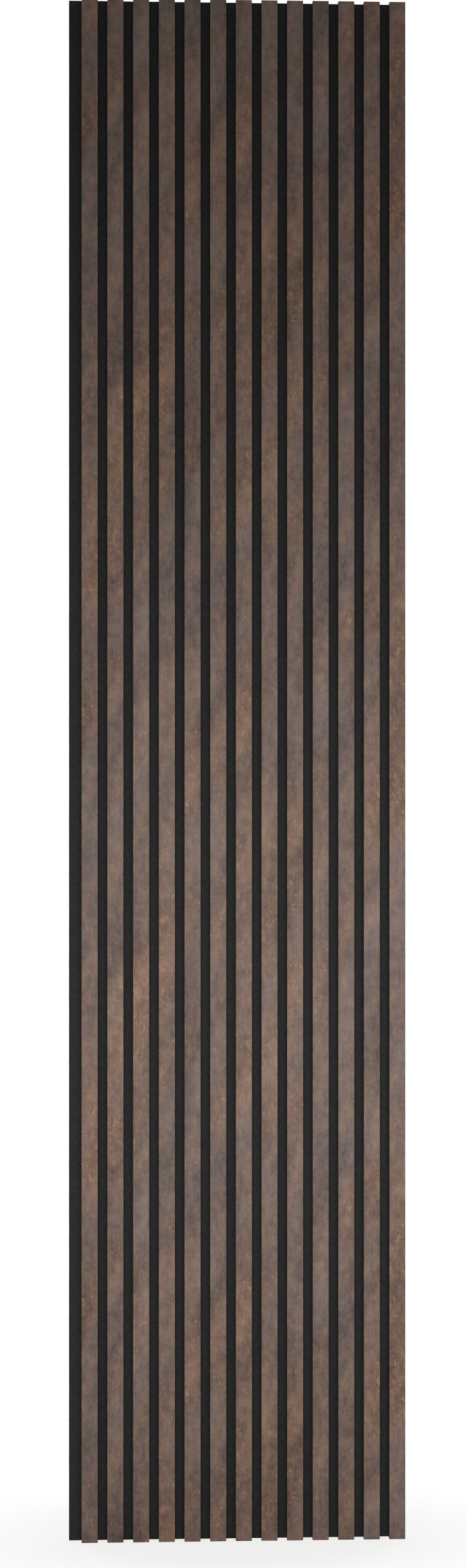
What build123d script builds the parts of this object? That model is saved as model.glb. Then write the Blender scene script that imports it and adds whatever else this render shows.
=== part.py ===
from build123d import *

import os
from math import ceil

# A slatted acoustic wall panel: slats of dyed fibreboard with a printed laminate face, stapled
# side by side along a felt board. The origin is the centre of the felt's back, which lies on the
# wall. +X is to the right as seen from the room, +Z is up along the slats and +Y goes into the
# wall. Sizes are in millimetres, and a depth is measured from the wall towards the room.

# Panel and row of slats
panel_length = 2400.0
slat_count = 13
slat_width = 25.0
slat_gap = 15.0
# Bare felt left of the first slat. The last slat is flush with the felt's right edge.
left_margin = 20.0

# Layers, from the wall to the room
felt_thickness = 9.0
core_thickness = 11.4
face_thickness = 0.6
# Broken long edges of the laminate
face_bevel = 0.3

# Wire staples, a line of them along the middle of each slat
staple_end_distance = 60.0
staple_spacing_limit = 460.0
staple_crown = 5.8
wire_width = 1.25
wire_thickness = 1.05
# How deep the crown is pressed into the felt's back
crown_sink = 0.4
# Flat across the outside of each bend
bend_chamfer = 0.6
# Length of the chisel cut on each leg
point_length = 1.4
# Fibreboard left between the points and the laminate
point_cover = 4.0

# The felt is centred on the origin, so the row of slats stands half the margin to the right
slat_pitch = slat_width + slat_gap
felt_width = left_margin + slat_count * slat_width + (slat_count - 1) * slat_gap
row_centre = left_margin / 2

staple_line = panel_length - 2 * staple_end_distance
staple_rows = ceil(staple_line / staple_spacing_limit) + 1
staple_spacing = staple_line / (staple_rows - 1)
point_depth = felt_thickness + core_thickness - point_cover

os.makedirs("parts", exist_ok=True)


def room_plane(x, depth):
    """A plane that faces the room, at x and at a depth from the wall, upright along Z."""
    return Plane(origin=(x, -depth, 0), x_dir=(1, 0, 0), z_dir=(0, -1, 0))


def slat_centre(number):
    """The x of the middle of a slat, numbered from 1 at the left."""
    return row_centre + (number - (slat_count + 1) / 2) * slat_pitch


def staple_outline(crown_depth):
    """The U of a staple in its own plane: along the crown, then in depth to the chisel points."""
    half = staple_crown / 2
    inner_half = half - wire_thickness
    inner_depth = crown_sink + wire_thickness
    leg = [
        (half, crown_depth),
        (half, point_depth - point_length),
        (inner_half, point_depth),
        (inner_half, inner_depth),
    ]
    return leg + [(-along, depth) for along, depth in reversed(leg)]


def save(piece, name):
    """Label a finished piece and write it to its own file."""
    piece.label = name
    export_step(piece, f"parts/{name}.step")


# One staple, with its crown along the slat and its legs towards the room
with BuildPart() as staple:
    with BuildSketch(Plane.YZ) as wire:
        Polygon(*staple_outline(crown_sink), align=None)
        chamfer(wire.vertices().group_by(Axis.Y)[0], bend_chamfer)
    extrude(amount=wire_width / 2, both=True)

# The slot that a staple leaves: its own outline, open to the wall above the sunk crown
with BuildPart() as staple_slot:
    with BuildSketch(Plane.YZ):
        Polygon(*staple_outline(0), align=None)
    extrude(amount=wire_width / 2, both=True)

# Felt board, with a slot for every staple
with BuildPart() as felt_backing:
    with BuildSketch(room_plane(0, 0)):
        Rectangle(felt_width, panel_length)
    extrude(amount=felt_thickness)
    with Locations(room_plane(row_centre, 0)):
        with GridLocations(slat_pitch, staple_spacing, slat_count, staple_rows):
            add(staple_slot.part, mode=Mode.SUBTRACT)
save(felt_backing.part, "felt_backing")

# All the staples, driven from the wall side on the same grid
with BuildPart() as staples:
    with Locations(room_plane(row_centre, 0)):
        with GridLocations(slat_pitch, staple_spacing, slat_count, staple_rows):
            add(staple.part)
save(staples.part, "staples")

for number in range(1, slat_count + 1):
    # Core, seated on the felt, with the blind ends of its staples' slots
    with BuildPart() as slat_core:
        with BuildSketch(room_plane(slat_centre(number), felt_thickness)):
            Rectangle(slat_width, panel_length)
        extrude(amount=core_thickness)
        with Locations(room_plane(slat_centre(number), 0)):
            with GridLocations(slat_pitch, staple_spacing, 1, staple_rows):
                add(staple_slot.part, mode=Mode.SUBTRACT)
    save(slat_core.part, f"slat_core_{number:02d}")

    # Laminate face, bonded over the whole front of the core
    with BuildPart() as slat_face:
        with BuildSketch(room_plane(slat_centre(number), felt_thickness + core_thickness)):
            Rectangle(slat_width, panel_length)
        extrude(amount=face_thickness)
        front = slat_face.faces().sort_by(Axis.Y)[0]
        chamfer(front.edges().filter_by(Axis.Z), face_bevel)
    save(slat_face.part, f"slat_face_{number:02d}")
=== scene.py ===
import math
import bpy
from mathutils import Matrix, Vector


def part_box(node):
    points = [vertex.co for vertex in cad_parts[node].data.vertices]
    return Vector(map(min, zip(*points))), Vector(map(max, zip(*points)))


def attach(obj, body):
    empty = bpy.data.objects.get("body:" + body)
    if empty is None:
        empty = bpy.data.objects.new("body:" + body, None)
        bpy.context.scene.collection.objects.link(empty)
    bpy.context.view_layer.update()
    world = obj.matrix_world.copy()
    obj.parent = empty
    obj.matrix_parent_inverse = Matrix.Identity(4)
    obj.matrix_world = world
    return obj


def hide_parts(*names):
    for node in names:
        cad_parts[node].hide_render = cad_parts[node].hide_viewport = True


bl_info = {
    "name": "Slatted acoustic panel",
    "version": (1, 0, 0),
    "blender": (4, 5, 0),
    "location": "3D View > Sidebar > Acoustic panel",
    "description": "Dresses the slats, felt and staples of a wall panel, and sets a plain studio round it",
    "category": "Object",
}

import bmesh
import bpy
from bpy.props import FloatProperty, FloatVectorProperty, IntProperty, PointerProperty
from mathutils import Matrix, Vector, noise

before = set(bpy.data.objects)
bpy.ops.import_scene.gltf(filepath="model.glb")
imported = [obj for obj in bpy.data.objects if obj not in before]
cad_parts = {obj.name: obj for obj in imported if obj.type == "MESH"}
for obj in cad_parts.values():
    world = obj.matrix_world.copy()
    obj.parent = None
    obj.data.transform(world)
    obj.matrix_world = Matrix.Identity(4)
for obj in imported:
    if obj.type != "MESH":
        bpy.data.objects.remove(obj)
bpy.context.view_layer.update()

MM = 0.001
BODY = "root"
# The name of a map for baking a piece's colours on
BAKE_MAP = "OFBake"

# Places and sizes that the packed model gives, in metres. The room is on the side of -Y.
FACES = sorted(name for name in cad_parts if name.startswith("slat_face"))
CORES = sorted(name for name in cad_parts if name.startswith("slat_core"))
FELT_LOW, FELT_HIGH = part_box("felt_backing")
STAPLES_LOW, STAPLES_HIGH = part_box("staples")
FACE_BOXES = [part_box(name) for name in FACES]
FACE_LOW, FACE_HIGH = FACE_BOXES[0]
SLAT_WIDTH = FACE_HIGH.x - FACE_LOW.x
SLAT_XS = [(low.x + high.x) / 2 for low, high in FACE_BOXES]
SLAT_PITCH = SLAT_XS[1] - SLAT_XS[0]
FACE_THICKNESS = FACE_HIGH.y - FACE_LOW.y
PANEL_LENGTH = FACE_HIGH.z - FACE_LOW.z

# A staple draws the felt in along the straight part of its crown, and less and less round it
CROWN_HALF = 2.2 * MM
DENT_REACH = 1.7 * MM


def srgb(code):
    """An sRGB hex colour as linear red, green and blue."""
    parts = [int(code[i : i + 2], 16) / 255 for i in (1, 3, 5)]
    return [c / 12.92 if c <= 0.04045 else ((c + 0.055) / 1.055) ** 2.4 for c in parts]


def add(tree, kind, inputs=None, **settings):
    """Adds a node, sets its properties, and fills inputs, by name or number, from values or sockets."""
    node = tree.nodes.new(kind)
    for name, value in settings.items():
        setattr(node, name, value)
    for key, value in (inputs or {}).items():
        if isinstance(value, bpy.types.NodeSocket):
            tree.links.new(value, node.inputs[key])
        else:
            node.inputs[key].default_value = value
    return node


def millimetres(text, size, note):
    """A length that a user may change, given in millimetres."""
    return FloatProperty(name=text, description=note, default=size * MM, min=0, precision=5, unit="LENGTH")


def tint(text, code, note):
    """A colour that a user may change, given as sRGB hex."""
    return FloatVectorProperty(
        name=text, description=note, default=srgb(code), size=3, min=0, max=1, subtype="COLOR"
    )


class LaminateSettings(bpy.types.PropertyGroup):
    """Printed laminate on the slats' fronts"""

    roller: millimetres("Roller", 917, "Height after which the print repeats, once round its roller")
    band_rise: FloatProperty(
        name="Band rise", description="Climb of the print's bands for a metre across", default=1.43
    )
    slate: tint("Slate", "#746661", "Violet-grey of the print's cool clouds")
    taupe: tint("Taupe", "#7a655a", "Ground colour of the print")
    copper: tint("Copper", "#806353", "Orange-brown of its warm clouds")
    pale_fleck: tint("Pale fleck", "#c2a08a", "Small light spots and strokes")
    dark_fleck: tint("Dark fleck", "#4c3b35", "Small dark pits and stains")
    core_paper: tint("Core paper", "#3a2d27", "Resin-soaked paper that shows at the cut edges")
    edge_radius: millimetres("Edge radius", 0.3, "Rounding of the long front edges")
    edge_steps: IntProperty(
        name="Edge steps", description="Segments across a rounded edge", default=3, min=1
    )
    lengths: IntProperty(
        name="Lengths", description="Lengths that a strip's map is cut into", default=9, min=1
    )


class FibreboardSettings(bpy.types.PropertyGroup):
    """Dyed fibreboard under the laminate"""

    dyed: tint("Dyed", "#262322", "Colour of the board, dyed right through")
    fibre: tint("Fibre", "#3d3733", "Colour of the fibres that took less dye")


class FeltSettings(bpy.types.PropertyGroup):
    """Felt board behind the slats, and its loose fibres"""

    black: tint("Black", "#282828", "Colour of most of the fibres")
    grey: tint("Grey", "#383838", "Colour of the paler fibres mixed in")
    edge_radius: millimetres("Edge radius", 0.9, "Rounding of the cut edges")
    waviness: millimetres("Waviness", 0.12, "How far the cut edges wander")
    swell: millimetres("Swell", 0.2, "How far the felt stands up between the slats that press on it")
    dent: millimetres("Dent", 0.95, "How far each staple draws the felt's back in")
    fibre_length: millimetres("Fibre length", 2.4, "Length of a loose fibre")
    fibre_radius: millimetres("Fibre radius", 0.05, "Radius of a loose fibre, drawn thick so that it shows")
    edge_fibres: FloatProperty(
        name="Edge fibres", description="Loose fibres on a square metre of cut edge", default=50000, min=0
    )


class StapleSettings(bpy.types.PropertyGroup):
    """Wire staples through the felt into the slats"""

    rows: IntProperty(name="Rows", description="Staples along each slat", default=6, min=2)
    crown: millimetres("Crown", 5.8, "Outside length of a staple's back")
    wire_thickness: millimetres("Wire thickness", 1.05, "Thickness of the flat wire")
    wire_rounding: millimetres("Wire rounding", 0.22, "Rounding of the wire's own edges")
    bend_radius: millimetres("Bend radius", 0.75, "Radius of the two bends at the middle of the wire")
    point: millimetres("Point", 1.4, "Length of the chisel cut on each leg")
    steel: tint("Steel", "#b7babd", "Zinc coat of the wire")


class StudioSettings(bpy.types.PropertyGroup):
    """Camera, lamps and floor"""

    lens: FloatProperty(name="Lens", description="Focal length on a 36 mm frame", default=50, unit="CAMERA")
    camera: FloatVectorProperty(
        name="Camera",
        description="Where it stands",
        default=(-0.1291, -3.4097, -0.021),
        subtype="TRANSLATION",
    )
    aim: FloatVectorProperty(
        name="Aim", description="What it looks at", default=(-0.0062, -0.021, -0.021), subtype="TRANSLATION"
    )
    key: FloatProperty(
        name="Key lamp", description="Power of the soft lamp in front", default=12.9, unit="POWER"
    )
    key_place: FloatVectorProperty(
        name="Key lamp's place",
        description="Where it stands",
        default=(0.39, -2.2, -0.38),
        subtype="TRANSLATION",
    )
    key_spread: FloatProperty(
        name="Key lamp's spread",
        description="How wide its light opens",
        default=math.radians(96),
        subtype="ANGLE",
    )
    back: FloatProperty(name="Back lamps", description="Power of the lamps behind", default=40, unit="POWER")
    fill: FloatProperty(
        name="Fill", description="Strength of the even light from all round", default=0.208, min=0
    )


def bare_tree(block):
    """A material's or a world's own node tree, with nothing in it yet."""
    block.use_nodes = True
    block.node_tree.nodes.clear()
    return block.node_tree


def new_material(name):
    """A material with nothing in it but its Principled shader and its output."""
    material = bpy.data.materials.new(name)
    tree = bare_tree(material)
    shader = add(tree, "ShaderNodeBsdfPrincipled")
    add(tree, "ShaderNodeOutputMaterial", {"Surface": shader.outputs["BSDF"]})
    return material, tree, shader


def round_roller(tree, roller, rise):
    """Places on a printing roller, so that a pattern drawn on them repeats up the slats as print does. The
    second and third numbers go round the roller, and the first goes along it, so across the slats."""
    axes = add(tree, "ShaderNodeSeparateXYZ", {0: add(tree, "ShaderNodeTexCoord").outputs["Object"]}).outputs
    leaned = add(tree, "ShaderNodeMath", {0: axes["X"], 1: -rise, 2: axes["Z"]}, operation="MULTIPLY_ADD")
    radius = roller / math.tau
    angle = add(tree, "ShaderNodeMath", {0: leaned.outputs[0], 1: radius}, operation="DIVIDE").outputs[0]
    sine = add(tree, "ShaderNodeMath", {0: angle}, operation="SINE").outputs[0]
    cosine = add(tree, "ShaderNodeMath", {0: angle}, operation="COSINE").outputs[0]
    joined = add(tree, "ShaderNodeCombineXYZ", {"X": axes["X"], "Y": sine, "Z": cosine}).outputs[0]
    reach = (1, radius, radius)
    return add(tree, "ShaderNodeVectorMath", {0: joined, 1: reach}, operation="MULTIPLY").outputs[0]


def clouds(tree, place, width, height, start, detail=1.0):
    """Soft patches of about that width and height, from 0 to 1. The start sets them apart from others."""
    scaled = add(
        tree,
        "ShaderNodeVectorMath",
        {0: place, 1: (1 / width, 1 / height, 1 / height), 2: (start, start, start)},
        operation="MULTIPLY_ADD",
    ).outputs[0]
    return add(tree, "ShaderNodeTexNoise", {"Vector": scaled, "Scale": 1, "Detail": detail}).outputs[0]


def frayed(tree, place, size, reach):
    """Places moved about by up to that reach, so that patterns drawn on them get ragged outlines."""
    away = add(tree, "ShaderNodeTexNoise", {"Vector": place, "Scale": 1 / size, "Detail": 1}).outputs[1]
    return add(
        tree, "ShaderNodeVectorMath", {0: away, 1: (reach, reach, reach), 2: place}, operation="MULTIPLY_ADD"
    ).outputs[0]


def flecks(tree, place, spacing, width, height, share, start):
    """Spots that are 1 inside and 0 outside, one to a cell of that spacing, in that share of the cells."""
    stretch = width / height
    scaled = add(
        tree,
        "ShaderNodeVectorMath",
        {0: place, 1: (1 / spacing, stretch / spacing, stretch / spacing), 2: (start, start, start)},
        operation="MULTIPLY_ADD",
    ).outputs[0]
    cells = add(tree, "ShaderNodeTexVoronoi", {"Vector": scaled, "Scale": 1})
    chance = add(tree, "ShaderNodeSeparateColor", {0: cells.outputs["Color"]}).outputs
    there = add(tree, "ShaderNodeMath", {0: chance[0], 1: share}, operation="LESS_THAN").outputs[0]
    reach = width / spacing / 2
    size = add(tree, "ShaderNodeMath", {0: chance[1], 1: reach, 2: reach / 2}, operation="MULTIPLY_ADD")
    spot = add(
        tree,
        "ShaderNodeMapRange",
        {"Value": cells.outputs["Distance"], "From Min": size.outputs[0], "From Max": 0.2 * reach},
        interpolation_type="SMOOTHSTEP",
    )
    return add(tree, "ShaderNodeMath", {0: spot.outputs[0], 1: there}, operation="MULTIPLY").outputs[0]


def weighed(tree, layers, middle):
    """The middle value, moved up and down by each layer times its weight."""
    total = middle - sum(weight for _, weight in layers) / 2
    for layer, weight in layers:
        moved = add(tree, "ShaderNodeMath", {0: layer, 1: weight, 2: total}, operation="MULTIPLY_ADD")
        total = moved.outputs[0]
    return total


def printed_laminate(settings):
    """High-pressure laminate with a matt printed decor like rusted sheet steel. The print is flat, so what
    the eye gets is soft copper and slate clouds in steep bands, fine upright mottling, and small flecks,
    under a dull, even sheen. Each pattern runs on from slat to slat, as they are cut from one board."""
    material, tree, shader = new_material("printed_laminate")
    level = round_roller(tree, settings.roller, 0)
    rising = round_roller(tree, settings.roller, settings.band_rise)
    upright, leaning = [frayed(tree, place, 3 * MM, 5 * MM) for place in (level, rising)]
    # Each kind of patch has the width and height of those in the photograph
    bands = clouds(tree, rising, 130 * MM, 190 * MM, 3.1, 2)
    patches = clouds(tree, leaning, 38 * MM, 60 * MM, 7.7, 1)
    shades = clouds(tree, leaning, 52 * MM, 92 * MM, 2.9, 1)
    blotches = clouds(tree, upright, 12 * MM, 17 * MM, 9.2, 1)
    streaks = clouds(tree, upright, 3 * MM, 32 * MM, 5.1, 0)
    mottle = clouds(tree, upright, 5 * MM, 7 * MM, 1.3, 1)
    grain = clouds(tree, leaning, 2 * MM, 4 * MM, 5.9, 1)
    dust = clouds(tree, level, 0.7 * MM, 0.9 * MM, 4.2, 1)
    warmth = weighed(tree, [(bands, 1.45), (patches, 0.5), (blotches, 0.2), (streaks, 0.35)], 0.5)
    tones = add(tree, "ShaderNodeValToRGB", {0: warmth})
    ramp = tones.color_ramp.elements
    ramp[0].position = 0.15
    ramp[1].position = 0.85
    ramp.new(0.5)
    for stop, colour in zip(ramp, (settings.slate, settings.taupe, settings.copper)):
        stop.color = (*colour, 1)
    coarse = [(bands, 0.2), (shades, 1.15), (blotches, 0.75)]
    fine = [(mottle, 0.6), (grain, 0.3), (streaks, 0.3), (dust, 0.35)]
    light = weighed(tree, coarse + fine, 1.0)
    lit = add(tree, "ShaderNodeVectorMath", {0: tones.outputs[0], "Scale": light}, operation="SCALE")
    # Some clouds go towards olive and others towards mauve
    olive = weighed(tree, [(clouds(tree, leaning, 22 * MM, 40 * MM, 6.3, 1), 0.24)], 1.0)
    hue = add(tree, "ShaderNodeCombineXYZ", {"X": 1.0, "Y": olive, "Z": 1.0}).outputs[0]
    toned = add(tree, "ShaderNodeVectorMath", {0: lit.outputs[0], 1: hue}, operation="MULTIPLY").outputs[0]
    # Pale spots gather where the rust is strongest, and dark ones lie anywhere
    rust = weighed(tree, [(patches, 1.8), (bands, 3.2), (blotches, 1.2)], 0.35)
    crumbs = weighed(tree, [(clouds(tree, upright, 4 * MM, 6 * MM, 4.4, 1), 1.0), (rust, 0.14)], 0.5)
    chips = add(tree, "ShaderNodeMapRange", {"Value": crumbs, "From Min": 0.62, "From Max": 0.86}).outputs[0]
    spots = [
        (flecks(tree, upright, 13 * MM, 3.2 * MM, 5 * MM, 0.5, 2.2), settings.dark_fleck, 0.3),
        (flecks(tree, level, 15 * MM, 6 * MM, 1.1 * MM, 0.3, 8.3), settings.dark_fleck, 0.3),
        (chips, settings.pale_fleck, 0.4),
        (flecks(tree, leaning, 11 * MM, 3 * MM, 10 * MM, rust, 6.6), settings.pale_fleck, 0.35),
        (flecks(tree, upright, 16 * MM, 3.5 * MM, 4 * MM, rust, 3.7), settings.pale_fleck, 0.55),
    ]
    for spot, colour, strength in spots:
        share = add(tree, "ShaderNodeMath", {0: spot, 1: strength}, operation="MULTIPLY").outputs[0]
        mixed = add(tree, "ShaderNodeMix", {0: share, 6: toned, 7: (*colour, 1)}, data_type="RGBA")
        toned = mixed.outputs[2]
    pressed = add(tree, "ShaderNodeBump", {"Height": grain, "Strength": 0.25, "Distance": 0.05 * MM})
    dullness = weighed(tree, [(mottle, 0.12)], 0.5)
    tree.links.new(toned, shader.inputs["Base Color"])
    tree.links.new(dullness, shader.inputs["Roughness"])
    tree.links.new(pressed.outputs[0], shader.inputs["Normal"])
    shader.inputs["IOR"].default_value = 1.5
    shader.inputs["Specular IOR Level"].default_value = 0.2
    return material


def laminate_edge(settings):
    """Sawn edge of the laminate: brown kraft paper soaked in resin, fine and dull, a little uneven."""
    material, tree, shader = new_material("laminate_edge")
    place = add(tree, "ShaderNodeTexCoord").outputs["Object"]
    dust = clouds(tree, place, 0.8 * MM, 3 * MM, 0.4, 2)
    shade = weighed(tree, [(dust, 0.8)], 1.0)
    brown = tuple(settings.core_paper)
    paper = add(tree, "ShaderNodeVectorMath", {0: brown, "Scale": shade}, operation="SCALE")
    tree.links.new(paper.outputs[0], shader.inputs["Base Color"])
    shader.inputs["Roughness"].default_value = 0.7
    shader.inputs["Specular IOR Level"].default_value = 0.3
    return material


def dyed_fibreboard(settings):
    """Medium-density fibreboard dyed black right through and planed: near black and dull, with a fine
    speckle of fibres that took less dye, drawn at 0.7 mm, coarser than the real ones, so that it shows."""
    material, tree, shader = new_material("dyed_fibreboard")
    place = add(tree, "ShaderNodeTexCoord").outputs["Object"]
    speckle = clouds(tree, place, 0.7 * MM, 1.1 * MM, 0.9, 2)
    drift = clouds(tree, place, 9 * MM, 30 * MM, 4.8, 1)
    share = weighed(tree, [(speckle, 2.4), (drift, 0.5)], 0.3)
    mixed = add(
        tree,
        "ShaderNodeMix",
        {0: share, 6: (*settings.dyed, 1), 7: (*settings.fibre, 1)},
        data_type="RGBA",
        clamp_factor=True,
    )
    fuzz = add(tree, "ShaderNodeBump", {"Height": speckle, "Strength": 0.5, "Distance": 0.15 * MM})
    tree.links.new(mixed.outputs[2], shader.inputs["Base Color"])
    tree.links.new(fuzz.outputs[0], shader.inputs["Normal"])
    shader.inputs["Roughness"].default_value = 0.85
    shader.inputs["Specular IOR Level"].default_value = 0.15
    return material


def needled_felt(settings):
    """Needle-punched polyester felt, spun black: fibres of two close shades lie in all directions and
    give a faint heather, and their curls catch a soft sheen. They are drawn about 0.5 mm thick and 5 mm
    long, coarser than the real ones, so that they show."""
    material, tree, shader = new_material("needled_felt")
    place = add(tree, "ShaderNodeTexCoord").outputs["Object"]
    bent = add(tree, "ShaderNodeTexNoise", {"Vector": place, "Scale": 1 / (6 * MM), "Detail": 1}).outputs[1]
    reach = (4 * MM, 4 * MM, 4 * MM)
    wound = add(tree, "ShaderNodeVectorMath", {0: bent, 1: reach, 2: place}, operation="MULTIPLY_ADD")
    lying = []
    for turn in (0.5, 1.6, 2.7):
        about = {"Vector": wound.outputs[0], "Angle": turn}
        turned = add(tree, "ShaderNodeVectorRotate", about, rotation_type="Y_AXIS").outputs[0]
        lying.append(clouds(tree, turned, 0.5 * MM, 5 * MM, 10 * turn, 0))
    tufts = clouds(tree, place, 3 * MM, 3 * MM, 8.8, 2)
    share = weighed(tree, [(layer, 1.2) for layer in lying] + [(tufts, 0.8)], 0.35)
    mixed = add(
        tree,
        "ShaderNodeMix",
        {0: share, 6: (*settings.black, 1), 7: (*settings.grey, 1)},
        data_type="RGBA",
        clamp_factor=True,
    )
    height = weighed(tree, [(layer, 0.3) for layer in lying] + [(tufts, 0.4)], 0.5)
    nap = add(tree, "ShaderNodeBump", {"Height": height, "Strength": 0.6, "Distance": 0.3 * MM})
    tree.links.new(mixed.outputs[2], shader.inputs["Base Color"])
    tree.links.new(nap.outputs[0], shader.inputs["Normal"])
    shader.inputs["Roughness"].default_value = 1.0
    shader.inputs["Specular IOR Level"].default_value = 0.2
    shader.inputs["Sheen Weight"].default_value = 0.03
    shader.inputs["Sheen Roughness"].default_value = 0.6
    return material


def galvanised_wire(settings):
    """Zinc-coated steel wire, drawn and flattened: bright grey metal with faint lines and duller patches."""
    material, tree, shader = new_material("galvanised_wire")
    place = add(tree, "ShaderNodeTexCoord").outputs["Object"]
    patches = clouds(tree, place, 1.2 * MM, 1.2 * MM, 2.0, 1)
    drawn = clouds(tree, place, 0.12 * MM, 3 * MM, 6.0, 1)
    shade = weighed(tree, [(patches, 0.5), (drawn, 0.3)], 1.0)
    zinc = add(tree, "ShaderNodeVectorMath", {0: tuple(settings.steel), "Scale": shade}, operation="SCALE")
    dullness = weighed(tree, [(patches, 0.3)], 0.35)
    tree.links.new(zinc.outputs[0], shader.inputs["Base Color"])
    tree.links.new(dullness, shader.inputs["Roughness"])
    shader.inputs["Metallic"].default_value = 1.0
    return material


def new_tree(name, inputs):
    """An empty Geometry Nodes tree with those inputs, and its Group Input's sockets by name."""
    tree = bpy.data.node_groups.new(name, "GeometryNodeTree")
    tree.interface.new_socket("Geometry", in_out="OUTPUT", socket_type="NodeSocketGeometry")
    for text, kind in {"Geometry": "Geometry", **inputs}.items():
        tree.interface.new_socket(text, in_out="INPUT", socket_type="NodeSocket" + kind)
    return tree, add(tree, "NodeGroupInput").outputs


def grown(name, tree, values, base=None):
    """A plain mesh object that holds what the tree makes of these values and of the base mesh."""
    piece = bpy.data.objects.new(name, base or bpy.data.meshes.new(name))
    bpy.context.scene.collection.objects.link(piece)
    modifier = piece.modifiers.new(name, "NODES")
    modifier.node_group = tree
    sockets = {item.name: item.identifier for item in tree.interface.items_tree if item.in_out == "INPUT"}
    for text, value in values.items():
        modifier[sockets[text]] = value
    bpy.context.view_layer.update()
    seen = piece.evaluated_get(bpy.context.evaluated_depsgraph_get())
    mesh = bpy.data.meshes.new_from_object(seen)
    piece.modifiers.remove(modifier)
    piece.data = mesh
    if not mesh.polygons:
        raise RuntimeError(f"{name} came out with no faces")
    return piece


def fixed(piece, slot, *nodes):
    """Fixes a finished piece to the panel, in place of those nodes of the frame."""
    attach(piece, BODY)
    if nodes:
        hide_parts(*nodes)


def strip_tree():
    """Lays a strip of laminate: its section, with the front edges rounded, swept up the slat."""
    tree, given = new_tree(
        "Laminate strip",
        {
            "Length": "Float",
            "Width": "Float",
            "Thickness": "Float",
            "Edge radius": "Float",
            "Edge steps": "Int",
            "Lengths": "Int",
            "Middle": "Vector",
            "Print": "Material",
            "Sawn edge": "Material",
        },
    )
    section = add(
        tree,
        "GeometryNodeCurvePrimitiveQuadrilateral",
        {"Width": given["Width"], "Height": given["Thickness"]},
    )
    place = add(tree, "GeometryNodeInputPosition").outputs[0]
    depth = add(tree, "ShaderNodeSeparateXYZ", {0: place}).outputs["Y"]
    front = add(tree, "ShaderNodeMath", {0: depth, 1: 0.0}, operation="LESS_THAN").outputs[0]
    radius = add(tree, "ShaderNodeMath", {0: front, 1: given["Edge radius"]}, operation="MULTIPLY")
    rounded = add(
        tree,
        "GeometryNodeFilletCurve",
        {
            "Curve": section.outputs[0],
            "Radius": radius.outputs[0],
            "Count": given["Edge steps"],
            "Limit Radius": True,
        },
        mode="POLY",
    )
    half = add(tree, "ShaderNodeMath", {0: given["Length"], 1: 0.5}, operation="MULTIPLY").outputs[0]
    top = add(tree, "ShaderNodeCombineXYZ", {"Z": half}).outputs[0]
    foot = add(tree, "ShaderNodeVectorMath", {0: top, "Scale": -1.0}, operation="SCALE").outputs[0]
    path = add(tree, "GeometryNodeCurvePrimitiveLine", {"Start": foot, "End": top})
    points = add(tree, "ShaderNodeMath", {0: given["Lengths"], 1: 1.0}, operation="ADD").outputs[0]
    cut = add(tree, "GeometryNodeResampleCurve", {"Curve": path.outputs[0], "Count": points})
    swept = add(
        tree,
        "GeometryNodeCurveToMesh",
        {"Curve": cut.outputs[0], "Profile Curve": rounded.outputs[0], "Fill Caps": True},
    )
    placed = add(tree, "GeometryNodeTransform", {0: swept.outputs[0], "Translation": given["Middle"]})
    whole = add(tree, "GeometryNodeRealizeInstances", {0: placed.outputs[0]})
    printed = add(tree, "GeometryNodeSetMaterial", {0: whole.outputs[0], "Material": given["Print"]})
    facing = add(tree, "ShaderNodeSeparateXYZ", {0: add(tree, "GeometryNodeInputNormal").outputs[0]}).outputs
    aside = add(tree, "ShaderNodeMath", {0: facing["Y"]}, operation="ABSOLUTE").outputs[0]
    sawn = add(tree, "ShaderNodeMath", {0: aside, 1: 0.1}, operation="LESS_THAN").outputs[0]
    edged = add(
        tree,
        "GeometryNodeSetMaterial",
        {0: printed.outputs[0], "Selection": sawn, "Material": given["Sawn edge"]},
    )
    add(tree, "NodeGroupOutput", {0: edged.outputs[0]})
    return tree


def lay_out(strip, middle, lengths):
    """Gives a strip a map for baking its print on. The strip is 100 times as long as it is wide, so the
    map cuts it into lengths, one above the other, and each pixel covers about as much up as across."""
    mesh = strip.data
    layer = mesh.uv_layers.new(name=BAKE_MAP)
    low, high = -PANEL_LENGTH / 2, PANEL_LENGTH / 2
    tall = (high - low) / lengths
    reach = SLAT_WIDTH / 2 + FACE_THICKNESS
    # One band of the map for each length's front and sides, and a spare one for the ends and the back
    band = 2 * reach + 1 * MM
    spare = 5 * MM
    height = lengths * band + 2 * spare
    front = middle.y - FACE_THICKNESS / 2
    for face in mesh.polygons:
        side = math.copysign(1, face.center.x - middle.x)
        row = min(int((face.center.z - low) / tall), lengths - 1)
        for loop in face.loop_indices:
            x, y, z = mesh.vertices[mesh.loops[loop].vertex_index].co
            along = (z - low) / tall - row
            if abs(face.normal.z) > 0.5:
                u = 0.02 + 0.4 * (face.center.z > 0) + (x - middle.x + reach) / tall
                v = lengths * band + spare + 1 * MM + 2 * (y - front)
            elif face.normal.y > 0.5:
                u = (row + 0.02 + 0.96 * along) / lengths
                v = lengths * band + 1 * MM + (spare - 2 * MM) * ((x - middle.x) / SLAT_WIDTH + 0.5)
            else:
                u = 0.002 + 0.996 * along
                v = row * band + band / 2 + (x - middle.x) + side * (y - front)
            layer.data[loop].uv = (u, v / height)


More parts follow.
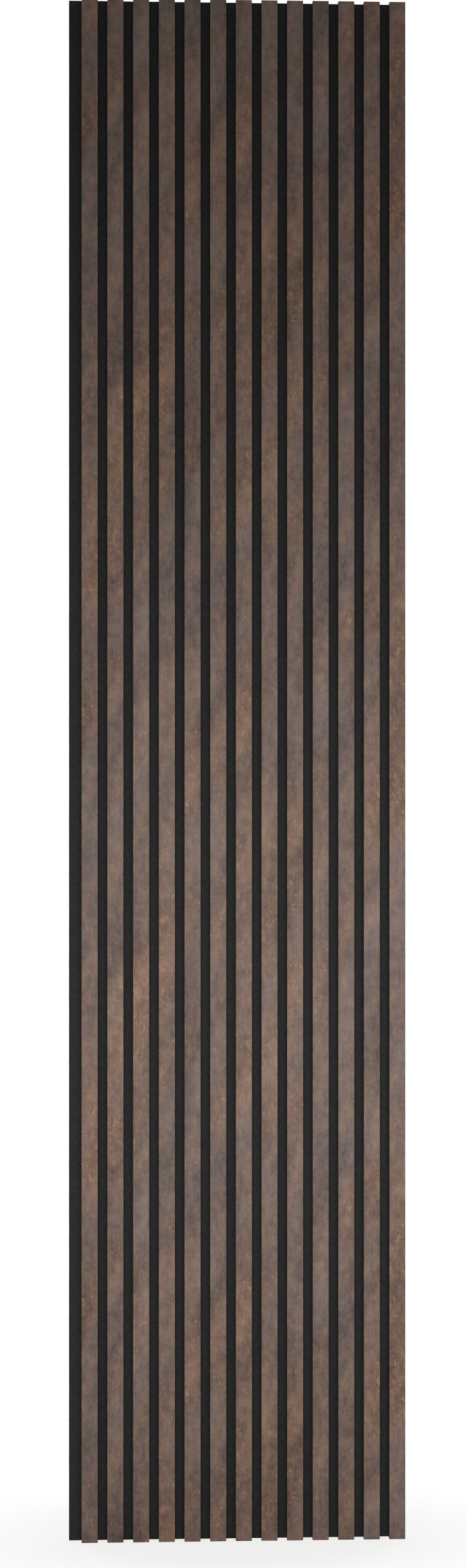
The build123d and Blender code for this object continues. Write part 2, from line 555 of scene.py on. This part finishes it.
class PANEL_OT_laminate(bpy.types.Operator):
    """Lay the printed laminate on the slats"""

    bl_idname = "acoustic_panel.laminate"
    bl_label = "Printed laminate"

    def execute(self, context):
        settings = context.scene.panel_laminate
        tree = strip_tree()
        decor = printed_laminate(settings)
        edge = laminate_edge(settings)
        for name, (low, high) in zip(FACES, FACE_BOXES):
            middle = (low + high) / 2
            strip = grown(
                name.replace("slat_face", "laminate_strip"),
                tree,
                {
                    "Length": high.z - low.z,
                    "Width": high.x - low.x,
                    "Thickness": high.y - low.y,
                    "Edge radius": settings.edge_radius,
                    "Edge steps": settings.edge_steps,
                    "Lengths": settings.lengths,
                    "Middle": middle,
                    "Print": decor,
                    "Sawn edge": edge,
                },
            )
            lay_out(strip, middle, settings.lengths)
            fixed(strip, "decor_laminate", name)
        return {"FINISHED"}


class PANEL_OT_fibreboard(bpy.types.Operator):
    """Give the slats' cores the look of dyed fibreboard"""

    bl_idname = "acoustic_panel.fibreboard"
    bl_label = "Dyed fibreboard"

    def execute(self, context):
        material = dyed_fibreboard(context.scene.panel_fibreboard)
        for name in CORES:
            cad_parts[name].material_slots[0].material = material
        return {"FINISHED"}


def staple_tree():
    """Bends one staple from flat wire, cuts its points, and sets a row of them up each slat's middle."""
    tree, given = new_tree(
        "Staples",
        {
            "Columns": "Int",
            "Column spacing": "Float",
            "Rows": "Int",
            "Row spacing": "Float",
            "Middle": "Vector",
            "Crown": "Float",
            "Leg": "Float",
            "Wire width": "Float",
            "Wire thickness": "Float",
            "Wire rounding": "Float",
            "Bend radius": "Float",
            "Point": "Float",
            "Steel": "Material",
        },
    )
    # The wire's middle line has four points: foot, shoulder, shoulder, foot
    points = add(tree, "GeometryNodeMeshLine", {"Count": 4})
    wire = add(tree, "GeometryNodeMeshToCurve", {0: points.outputs[0]})
    number = add(tree, "GeometryNodeInputIndex").outputs[0]
    off = add(tree, "ShaderNodeMath", {0: number, 1: 1.5}, operation="SUBTRACT").outputs[0]
    side = add(tree, "ShaderNodeMath", {0: off}, operation="SIGN").outputs[0]
    far = add(tree, "ShaderNodeMath", {0: off}, operation="ABSOLUTE").outputs[0]
    foot = add(tree, "ShaderNodeMath", {0: far, 1: 1.0}, operation="GREATER_THAN").outputs[0]
    thickness = given["Wire thickness"]
    between = add(tree, "ShaderNodeMath", {0: given["Crown"], 1: thickness}, operation="SUBTRACT").outputs[0]
    half = add(tree, "ShaderNodeMath", {0: between, 1: 0.5}, operation="MULTIPLY").outputs[0]
    sunk = add(tree, "ShaderNodeMath", {0: foot, 1: given["Leg"]}, operation="MULTIPLY").outputs[0]
    depth = add(tree, "ShaderNodeMath", {0: sunk, 1: -1.0}, operation="MULTIPLY").outputs[0]
    height = add(tree, "ShaderNodeMath", {0: side, 1: half}, operation="MULTIPLY").outputs[0]
    bend = add(tree, "ShaderNodeCombineXYZ", {"Y": depth, "Z": height}).outputs[0]
    bent = add(tree, "GeometryNodeSetPosition", {0: wire.outputs[0], "Position": bend})
    rounded = add(
        tree,
        "GeometryNodeFilletCurve",
        {"Curve": bent.outputs[0], "Radius": given["Bend radius"], "Count": 5, "Limit Radius": True},
        mode="POLY",
    )
    section = add(
        tree,
        "GeometryNodeCurvePrimitiveQuadrilateral",
        {"Width": thickness, "Height": given["Wire width"]},
    )
    soft = add(
        tree,
        "GeometryNodeFilletCurve",
        {"Curve": section.outputs[0], "Radius": given["Wire rounding"], "Count": 2, "Limit Radius": True},
        mode="POLY",
    )
    swept = add(
        tree,
        "GeometryNodeCurveToMesh",
        {"Curve": rounded.outputs[0], "Profile Curve": soft.outputs[0], "Fill Caps": True},
    )
    # A chisel cut takes the inside of each foot back by the point's length
    place = add(tree, "GeometryNodeInputPosition").outputs[0]
    axes = add(tree, "ShaderNodeSeparateXYZ", {0: place}).outputs
    end = add(tree, "ShaderNodeMath", {0: given["Leg"], 1: -0.99}, operation="MULTIPLY").outputs[0]
    low = add(tree, "ShaderNodeMath", {0: axes["Y"], 1: end}, operation="LESS_THAN").outputs[0]
    out = add(tree, "ShaderNodeMath", {0: axes["Z"]}, operation="ABSOLUTE").outputs[0]
    within = add(tree, "ShaderNodeMath", {0: out, 1: half}, operation="LESS_THAN").outputs[0]
    both = add(tree, "ShaderNodeMath", {0: low, 1: within}, operation="MULTIPLY").outputs[0]
    back = add(tree, "ShaderNodeCombineXYZ", {"Y": given["Point"]}).outputs[0]
    pointed = add(tree, "GeometryNodeSetPosition", {0: swept.outputs[0], "Selection": both, "Offset": back})
    counts = [
        add(tree, "ShaderNodeMath", {0: given[text], 1: -1.0}, operation="ADD").outputs[0]
        for text in ("Columns", "Rows")
    ]
    spans = [
        add(tree, "ShaderNodeMath", {0: count, 1: given[text]}, operation="MULTIPLY").outputs[0]
        for count, text in zip(counts, ("Column spacing", "Row spacing"))
    ]
    grid = add(
        tree,
        "GeometryNodeMeshGrid",
        {
            "Size X": spans[0],
            "Size Y": spans[1],
            "Vertices X": given["Columns"],
            "Vertices Y": given["Rows"],
        },
    )
    upright = add(
        tree,
        "GeometryNodeTransform",
        {0: grid.outputs[0], "Translation": given["Middle"], "Rotation": (math.pi / 2, 0, 0)},
    )
    shot = add(
        tree,
        "GeometryNodeInstanceOnPoints",
        {"Points": upright.outputs[0], "Instance": pointed.outputs[0]},
    )
    whole = add(tree, "GeometryNodeRealizeInstances", {0: shot.outputs[0]})
    coated = add(tree, "GeometryNodeSetMaterial", {0: whole.outputs[0], "Material": given["Steel"]})
    add(tree, "NodeGroupOutput", {0: coated.outputs[0]})
    return tree


def staple_spacing(settings):
    """From the middle of one staple to the next, up a slat."""
    return (STAPLES_HIGH.z - STAPLES_LOW.z - settings.crown) / (settings.rows - 1)


class PANEL_OT_staples(bpy.types.Operator):
    """Shoot the staples through the felt into the slats"""

    bl_idname = "acoustic_panel.staples"
    bl_label = "Staples"

    def execute(self, context):
        settings = context.scene.panel_staples
        wire = settings.wire_thickness
        staples = grown(
            "wire_staples",
            staple_tree(),
            {
                "Columns": len(SLAT_XS),
                "Column spacing": SLAT_PITCH,
                "Rows": settings.rows,
                "Row spacing": staple_spacing(settings),
                "Middle": Vector(((SLAT_XS[0] + SLAT_XS[-1]) / 2, STAPLES_HIGH.y - wire / 2, 0)),
                "Crown": settings.crown,
                "Leg": STAPLES_HIGH.y - STAPLES_LOW.y - wire / 2,
                "Wire width": (STAPLES_HIGH.x - STAPLES_LOW.x) - (SLAT_XS[-1] - SLAT_XS[0]),
                "Wire thickness": wire,
                "Wire rounding": settings.wire_rounding,
                "Bend radius": settings.bend_radius,
                "Point": settings.point,
                "Steel": galvanised_wire(settings),
            },
        )
        fixed(staples, "staple_wire", "staples")
        return {"FINISHED"}


def even_steps(start, end, count):
    """That many evenly spaced numbers after the start, up to and with the end."""
    return [start + (end - start) * (step + 1) / count for step in range(count)]


def mesh_lines(low, high, radius, closer, spacing):
    """Lines for a mesh across a board: close at its rounded edges and at the given places, and no further
    apart than the spacing elsewhere."""
    marks = {low, high}
    for share in (0.15, 0.4, 0.7, 1.0):
        marks |= {low + radius * share, high - radius * share}
    marks |= {mark for mark in closer if low + 1.2 * radius < mark < high - 1.2 * radius}
    marks = sorted(marks)
    lines = marks[:1]
    for start, end in zip(marks, marks[1:]):
        lines += even_steps(start, end, math.ceil((end - start) / spacing))
    return lines


def lattice_box(name, lines):
    """A closed box whose faces are cut along those lines of X, Y and Z."""
    shell = bmesh.new()
    corners = {}

    def corner(place):
        if place not in corners:
            corners[place] = shell.verts.new([line[step] for line, step in zip(lines, place)])
        return corners[place]

    for axis in range(3):
        one, other = (axis + 1) % 3, (axis + 2) % 3
        for end in (0, len(lines[axis]) - 1):
            for a in range(len(lines[one]) - 1):
                for b in range(len(lines[other]) - 1):
                    ring = []
                    for step_a, step_b in ((0, 0), (1, 0), (1, 1), (0, 1)):
                        place = [end, end, end]
                        place[one], place[other] = a + step_a, b + step_b
                        ring.append(corner(tuple(place)))
                    shell.faces.new(ring if end else ring[::-1])
    mesh = bpy.data.meshes.new(name)
    shell.to_mesh(mesh)
    shell.free()
    return mesh


def felt_shape(place, settings, staple_zs):
    """Where a point of the plain board lies on the real one: its edges rounded and a little wavy, its front
    swelling between the slats, and its back drawn in round each staple."""
    radius = settings.edge_radius
    core = Vector(
        min(max(at, low + radius), high - radius) for at, low, high in zip(place, FELT_LOW, FELT_HIGH)
    )
    out = place - core
    if out.length > 0:
        out = out.normalized()
        side = math.hypot(out.x, out.z)
        wander = settings.waviness * noise.noise(place / (18 * MM)) * side
        shaped = core + out * (radius + wander)
    else:
        shaped = place.copy()
    nearest = min(SLAT_XS, key=lambda x: abs(x - place.x))
    beside = abs(place.x - nearest) - SLAT_WIDTH / 2
    if beside > 0 and out.y < 0:
        gap = (SLAT_PITCH - SLAT_WIDTH) / 2
        shaped.y -= settings.swell * math.sin(min(beside / gap, 1) * math.pi / 2) * -out.y
    if out.y > 0:
        for z in staple_zs:
            far_x = (place.x - nearest) / DENT_REACH
            far_z = max(abs(place.z - z) - CROWN_HALF, 0) / DENT_REACH
            shaped.y -= settings.dent * math.exp(-(far_x**2) - far_z**2)
    return shaped


class PANEL_OT_felt(bpy.types.Operator):
    """Make the felt board"""

    bl_idname = "acoustic_panel.felt"
    bl_label = "Felt board"

    def execute(self, context):
        settings = context.scene.panel_felt
        spacing = staple_spacing(context.scene.panel_staples)
        rows = context.scene.panel_staples.rows
        staple_zs = [spacing * (row - (rows - 1) / 2) for row in range(rows)]
        ring = [sign * step * MM for step in (1.0, 2.1, 3.8) for sign in (-1, 1)] + [0]
        # The felt turns up sharply along each slat, within the width of this lip
        half, lip = SLAT_WIDTH / 2, 0.6 * MM
        across = [x + step for x in SLAT_XS for step in (*ring, -half, half, -half - lip, half + lip)]
        along = [z + sign * CROWN_HALF + step for z in staple_zs for step in ring for sign in (-1, 1)]
        radius = settings.edge_radius
        lines = [
            mesh_lines(FELT_LOW.x, FELT_HIGH.x, radius, across, 4.4 * MM),
            mesh_lines(FELT_LOW.y, FELT_HIGH.y, radius, [], 1.5 * MM),
            mesh_lines(FELT_LOW.z, FELT_HIGH.z, radius, along, 22 * MM),
        ]
        mesh = lattice_box("felt_board", lines)
        for vertex in mesh.vertices:
            vertex.co = felt_shape(vertex.co, settings, staple_zs)
        mesh.shade_smooth()
        mesh.materials.append(needled_felt(settings))
        board = bpy.data.objects.new("felt_board", mesh)
        context.scene.collection.objects.link(board)
        fixed(board, "felt", "felt_backing")
        return {"FINISHED"}


def fibre_tree():
    """Scatters loose fibres over a base mesh, as thick as its fuzz attribute says: curled hairs of five
    shapes, each leaning its own way."""
    tree, given = new_tree(
        "Loose fibres",
        {
            "Density": "Float",
            "Length": "Float",
            "Radius": "Float",
            "Curl": "Float",
            "Seed": "Int",
            "Felt": "Material",
        },
    )
    fuzz = add(tree, "GeometryNodeInputNamedAttribute", {"Name": "fuzz"}, data_type="FLOAT").outputs[0]
    density = add(tree, "ShaderNodeMath", {0: fuzz, 1: given["Density"]}, operation="MULTIPLY").outputs[0]
    roots = add(
        tree,
        "GeometryNodeDistributePointsOnFaces",
        {"Mesh": given["Geometry"], "Density": density, "Seed": given["Seed"]},
    )
    tip = add(tree, "ShaderNodeCombineXYZ", {"Z": given["Length"]}).outputs[0]
    straight = add(tree, "GeometryNodeCurvePrimitiveLine", {"End": tip})
    hair = add(tree, "GeometryNodeResampleCurve", {"Curve": straight.outputs[0], "Count": 7}).outputs[0]
    share = add(tree, "GeometryNodeSplineParameter").outputs["Factor"]
    section = add(tree, "GeometryNodeCurvePrimitiveCircle", {"Resolution": 3, "Radius": given["Radius"]})
    kinds = add(tree, "GeometryNodeJoinGeometry")
    for start in range(5):
        at = add(tree, "ShaderNodeMath", {0: share, 1: 1.6, 2: start * 7.3}, operation="MULTIPLY_ADD")
        wander = add(
            tree,
            "ShaderNodeTexNoise",
            {"W": at.outputs[0], "Scale": 1, "Detail": 0},
            noise_dimensions="1D",
        ).outputs[1]
        middle = (0.5, 0.5, 0.5)
        centred = add(tree, "ShaderNodeVectorMath", {0: wander, 1: middle}, operation="SUBTRACT").outputs[0]
        grow = add(tree, "ShaderNodeMath", {0: share, 1: given["Curl"]}, operation="MULTIPLY").outputs[0]
        move = add(tree, "ShaderNodeVectorMath", {0: centred, "Scale": grow}, operation="SCALE").outputs[0]
        curled = add(tree, "GeometryNodeSetPosition", {0: hair, "Offset": move})
        drawn = add(
            tree,
            "GeometryNodeCurveToMesh",
            {"Curve": curled.outputs[0], "Profile Curve": section.outputs[0], "Fill Caps": True},
        )
        kept = add(tree, "GeometryNodeGeometryToInstance", {0: drawn.outputs[0]})
        tree.links.new(kept.outputs[0], kinds.inputs[0])
    lean = add(
        tree,
        "FunctionNodeRandomValue",
        {0: (-1, -1, -1), 1: (1, 1, 1), "Seed": 1},
        data_type="FLOAT_VECTOR",
    ).outputs[0]
    aim = add(tree, "ShaderNodeVectorMath", {0: roots.outputs["Normal"], 1: lean}, operation="ADD")
    turn = add(tree, "FunctionNodeAlignRotationToVector", {"Vector": aim.outputs[0]}, axis="Z").outputs[0]
    size = add(tree, "FunctionNodeRandomValue", {2: 0.4, 3: 1.0, "Seed": 2}, data_type="FLOAT").outputs[1]
    kind = add(tree, "FunctionNodeRandomValue", {4: 0, 5: 4, "Seed": 3}, data_type="INT").outputs[2]
    planted = add(
        tree,
        "GeometryNodeInstanceOnPoints",
        {
            "Points": roots.outputs["Points"],
            "Instance": kinds.outputs[0],
            "Pick Instance": True,
            "Instance Index": kind,
            "Rotation": turn,
            "Scale": size,
        },
    )
    whole = add(tree, "GeometryNodeRealizeInstances", {0: planted.outputs[0]})
    black = add(tree, "GeometryNodeSetMaterial", {0: whole.outputs[0], "Material": given["Felt"]})
    add(tree, "NodeGroupOutput", {0: black.outputs[0]})
    return tree


def fuzziness(place, normal):
    """How thickly loose fibres stand there, as a share of their thickness on a cut edge."""
    if abs(normal.y) < 0.7:
        return 1.0
    beside = min(abs(place.x - x) for x in SLAT_XS) - SLAT_WIDTH / 2
    if normal.y < 0 and beside > 1 * MM:
        return 0.06
    return 0.01 if normal.y > 0 else 0.0


class PANEL_OT_fibres(bpy.types.Operator):
    """Raise loose fibres on the felt's cut edges and open faces"""

    bl_idname = "acoustic_panel.fibres"
    bl_label = "Loose fibres"

    def execute(self, context):
        settings = context.scene.panel_felt
        board = bpy.data.objects["felt_board"]
        base = board.data.copy()
        fuzz = base.attributes.new("fuzz", "FLOAT", "POINT")
        for vertex in base.vertices:
            fuzz.data[vertex.index].value = fuzziness(vertex.co, vertex.normal)
        fibres = grown(
            "loose_fibres",
            fibre_tree(),
            {
                "Density": settings.edge_fibres,
                "Length": settings.fibre_length,
                "Radius": settings.fibre_radius,
                "Curl": 1.6 * settings.fibre_length,
                "Seed": 4,
                "Felt": board.data.materials[0],
            },
            base,
        )
        fixed(fibres, "felt")
        return {"FINISHED"}


def aimed(thing, place, target):
    """Puts a camera or lamp in the scene, turned to the target."""
    thing = bpy.data.objects.new(thing.name, thing)
    thing.location = place
    thing.rotation_euler = (Vector(target) - Vector(place)).to_track_quat("-Z", "Y").to_euler()
    bpy.context.scene.collection.objects.link(thing)
    return thing


def soft_lamp(name, watts, width, height, place, target):
    """A soft lamp that lights the panel and isn't seen itself."""
    data = bpy.data.lights.new(name, "AREA")
    data.energy = watts
    data.shape = "RECTANGLE"
    data.size = width
    data.size_y = height
    lamp = aimed(data, place, target)
    lamp.visible_camera = False
    return lamp


def shown_white(tree):
    """1 for the rays that meet a white background: the camera's, and those that gloss or glass send on."""
    path = add(tree, "ShaderNodeLightPath").outputs
    white = path["Is Camera Ray"]
    for kind in ("Is Glossy Ray", "Is Transmission Ray"):
        white = add(tree, "ShaderNodeMath", {0: white, 1: path[kind]}, operation="MAXIMUM").outputs[0]
    return white


def studio_world(fill):
    """White where it is seen, and a dim even light on the panel."""
    world = bpy.data.worlds.new("studio")
    tree = bare_tree(world)
    light = add(tree, "ShaderNodeBackground", {"Color": (1, 1, 1, 1), "Strength": fill})
    white = add(tree, "ShaderNodeBackground", {"Color": (1, 1, 1, 1), "Strength": 1.0})
    shares = {0: shown_white(tree), 1: light.outputs[0], 2: white.outputs[0]}
    add(tree, "ShaderNodeOutputWorld", {0: add(tree, "ShaderNodeMixShader", shares).outputs[0]})
    return world


def pale_floor():
    """Matt white paper on the floor: it keeps the panel's shadow near the foot, and further out it is seen
    as white as the background."""
    material = bpy.data.materials.new("paper_floor")
    tree = bare_tree(material)
    paper = add(tree, "ShaderNodeBsdfDiffuse", {"Color": (*srgb("#f4f4f2"), 1)})
    white = add(tree, "ShaderNodeEmission", {"Color": (1, 1, 1, 1), "Strength": 1.0})
    place = add(tree, "ShaderNodeTexCoord").outputs["Object"]
    # The shadow is wide and shallow, as the panel is
    far = add(tree, "ShaderNodeVectorMath", {0: place, 1: (1.4, 3.2, 0)}, operation="MULTIPLY").outputs[0]
    away = add(tree, "ShaderNodeVectorMath", {0: far}, operation="LENGTH").outputs["Value"]
    faded = add(
        tree,
        "ShaderNodeMapRange",
        {"Value": away, "From Min": 0.2, "From Max": 0.9, "To Min": 0.8, "To Max": 1.0},
        interpolation_type="SMOOTHSTEP",
    )
    share = add(tree, "ShaderNodeMath", {0: faded.outputs[0], 1: shown_white(tree)}, operation="MULTIPLY")
    both = add(tree, "ShaderNodeMixShader", {0: share.outputs[0], 1: paper.outputs[0], 2: white.outputs[0]})
    add(tree, "ShaderNodeOutputMaterial", {0: both.outputs[0]})
    return material


class PANEL_OT_studio(bpy.types.Operator):
    """Set up the camera, the lamps and the floor"""

    bl_idname = "acoustic_panel.studio"
    bl_label = "Studio"

    def execute(self, context):
        settings = context.scene.panel_studio
        scene = context.scene
        scene.view_settings.view_transform = "Standard"
        scene.world = studio_world(settings.fill)
        lens = bpy.data.cameras.new("camera")
        lens.lens = settings.lens
        scene.camera = aimed(lens, settings.camera, settings.aim)
        # Square to the panel and below its middle, where the photograph is brightest, with its light narrow
        # enough to leave the top darker
        x, y, z = settings.key_place
        key = soft_lamp("key_lamp", settings.key, 2.8, 0.5, (x, y, z), (x, 0, z))
        key.data.spread = settings.key_spread
        for side in (-1, 1):
            soft_lamp("back_lamp", settings.back, 1.5, 1.5, (side * 2.2, 2.4, 0.5), (0, 0, 0))
        floor = bmesh.new()
        bmesh.ops.create_circle(floor, cap_ends=True, segments=64, radius=20)
        mesh = bpy.data.meshes.new("floor")
        floor.to_mesh(mesh)
        floor.free()
        mesh.transform(Matrix.Translation((0, 0, FELT_LOW.z - 0.2 * MM)))
        mesh.materials.append(pale_floor())
        paper = bpy.data.objects.new("floor", mesh)
        scene.collection.objects.link(paper)
        return {"FINISHED"}


OPERATORS = (
    PANEL_OT_studio,
    PANEL_OT_felt,
    PANEL_OT_fibres,
    PANEL_OT_fibreboard,
    PANEL_OT_laminate,
    PANEL_OT_staples,
)
SETTINGS = {
    "panel_laminate": LaminateSettings,
    "panel_fibreboard": FibreboardSettings,
    "panel_felt": FeltSettings,
    "panel_staples": StapleSettings,
    "panel_studio": StudioSettings,
}


class PANEL_PT_sidebar(bpy.types.Panel):
    """Lists the pieces of the panel and their settings"""

    bl_idname = "PANEL_PT_sidebar"
    bl_label = "Acoustic panel"
    bl_space_type = "VIEW_3D"
    bl_region_type = "UI"
    bl_category = "Acoustic panel"

    def draw(self, context):
        for operator in OPERATORS:
            self.layout.operator(operator.bl_idname)
        for name, group in SETTINGS.items():
            box = self.layout.box()
            box.label(text=group.__doc__)
            for text in group.__annotations__:
                box.prop(getattr(context.scene, name), text)


def register():
    for group in (*SETTINGS.values(), *OPERATORS, PANEL_PT_sidebar):
        bpy.utils.register_class(group)
    for name, group in SETTINGS.items():
        setattr(bpy.types.Scene, name, PointerProperty(type=group))


def unregister():
    for name in SETTINGS:
        delattr(bpy.types.Scene, name)
    for group in (PANEL_PT_sidebar, *OPERATORS[::-1], *SETTINGS.values()):
        bpy.utils.unregister_class(group)


def main():
    register()
    bpy.ops.acoustic_panel.studio()
    bpy.ops.acoustic_panel.felt()
    bpy.ops.acoustic_panel.fibres()
    bpy.ops.acoustic_panel.fibreboard()
    bpy.ops.acoustic_panel.laminate()
    bpy.ops.acoustic_panel.staples()


if __name__ == "__main__":
    main()
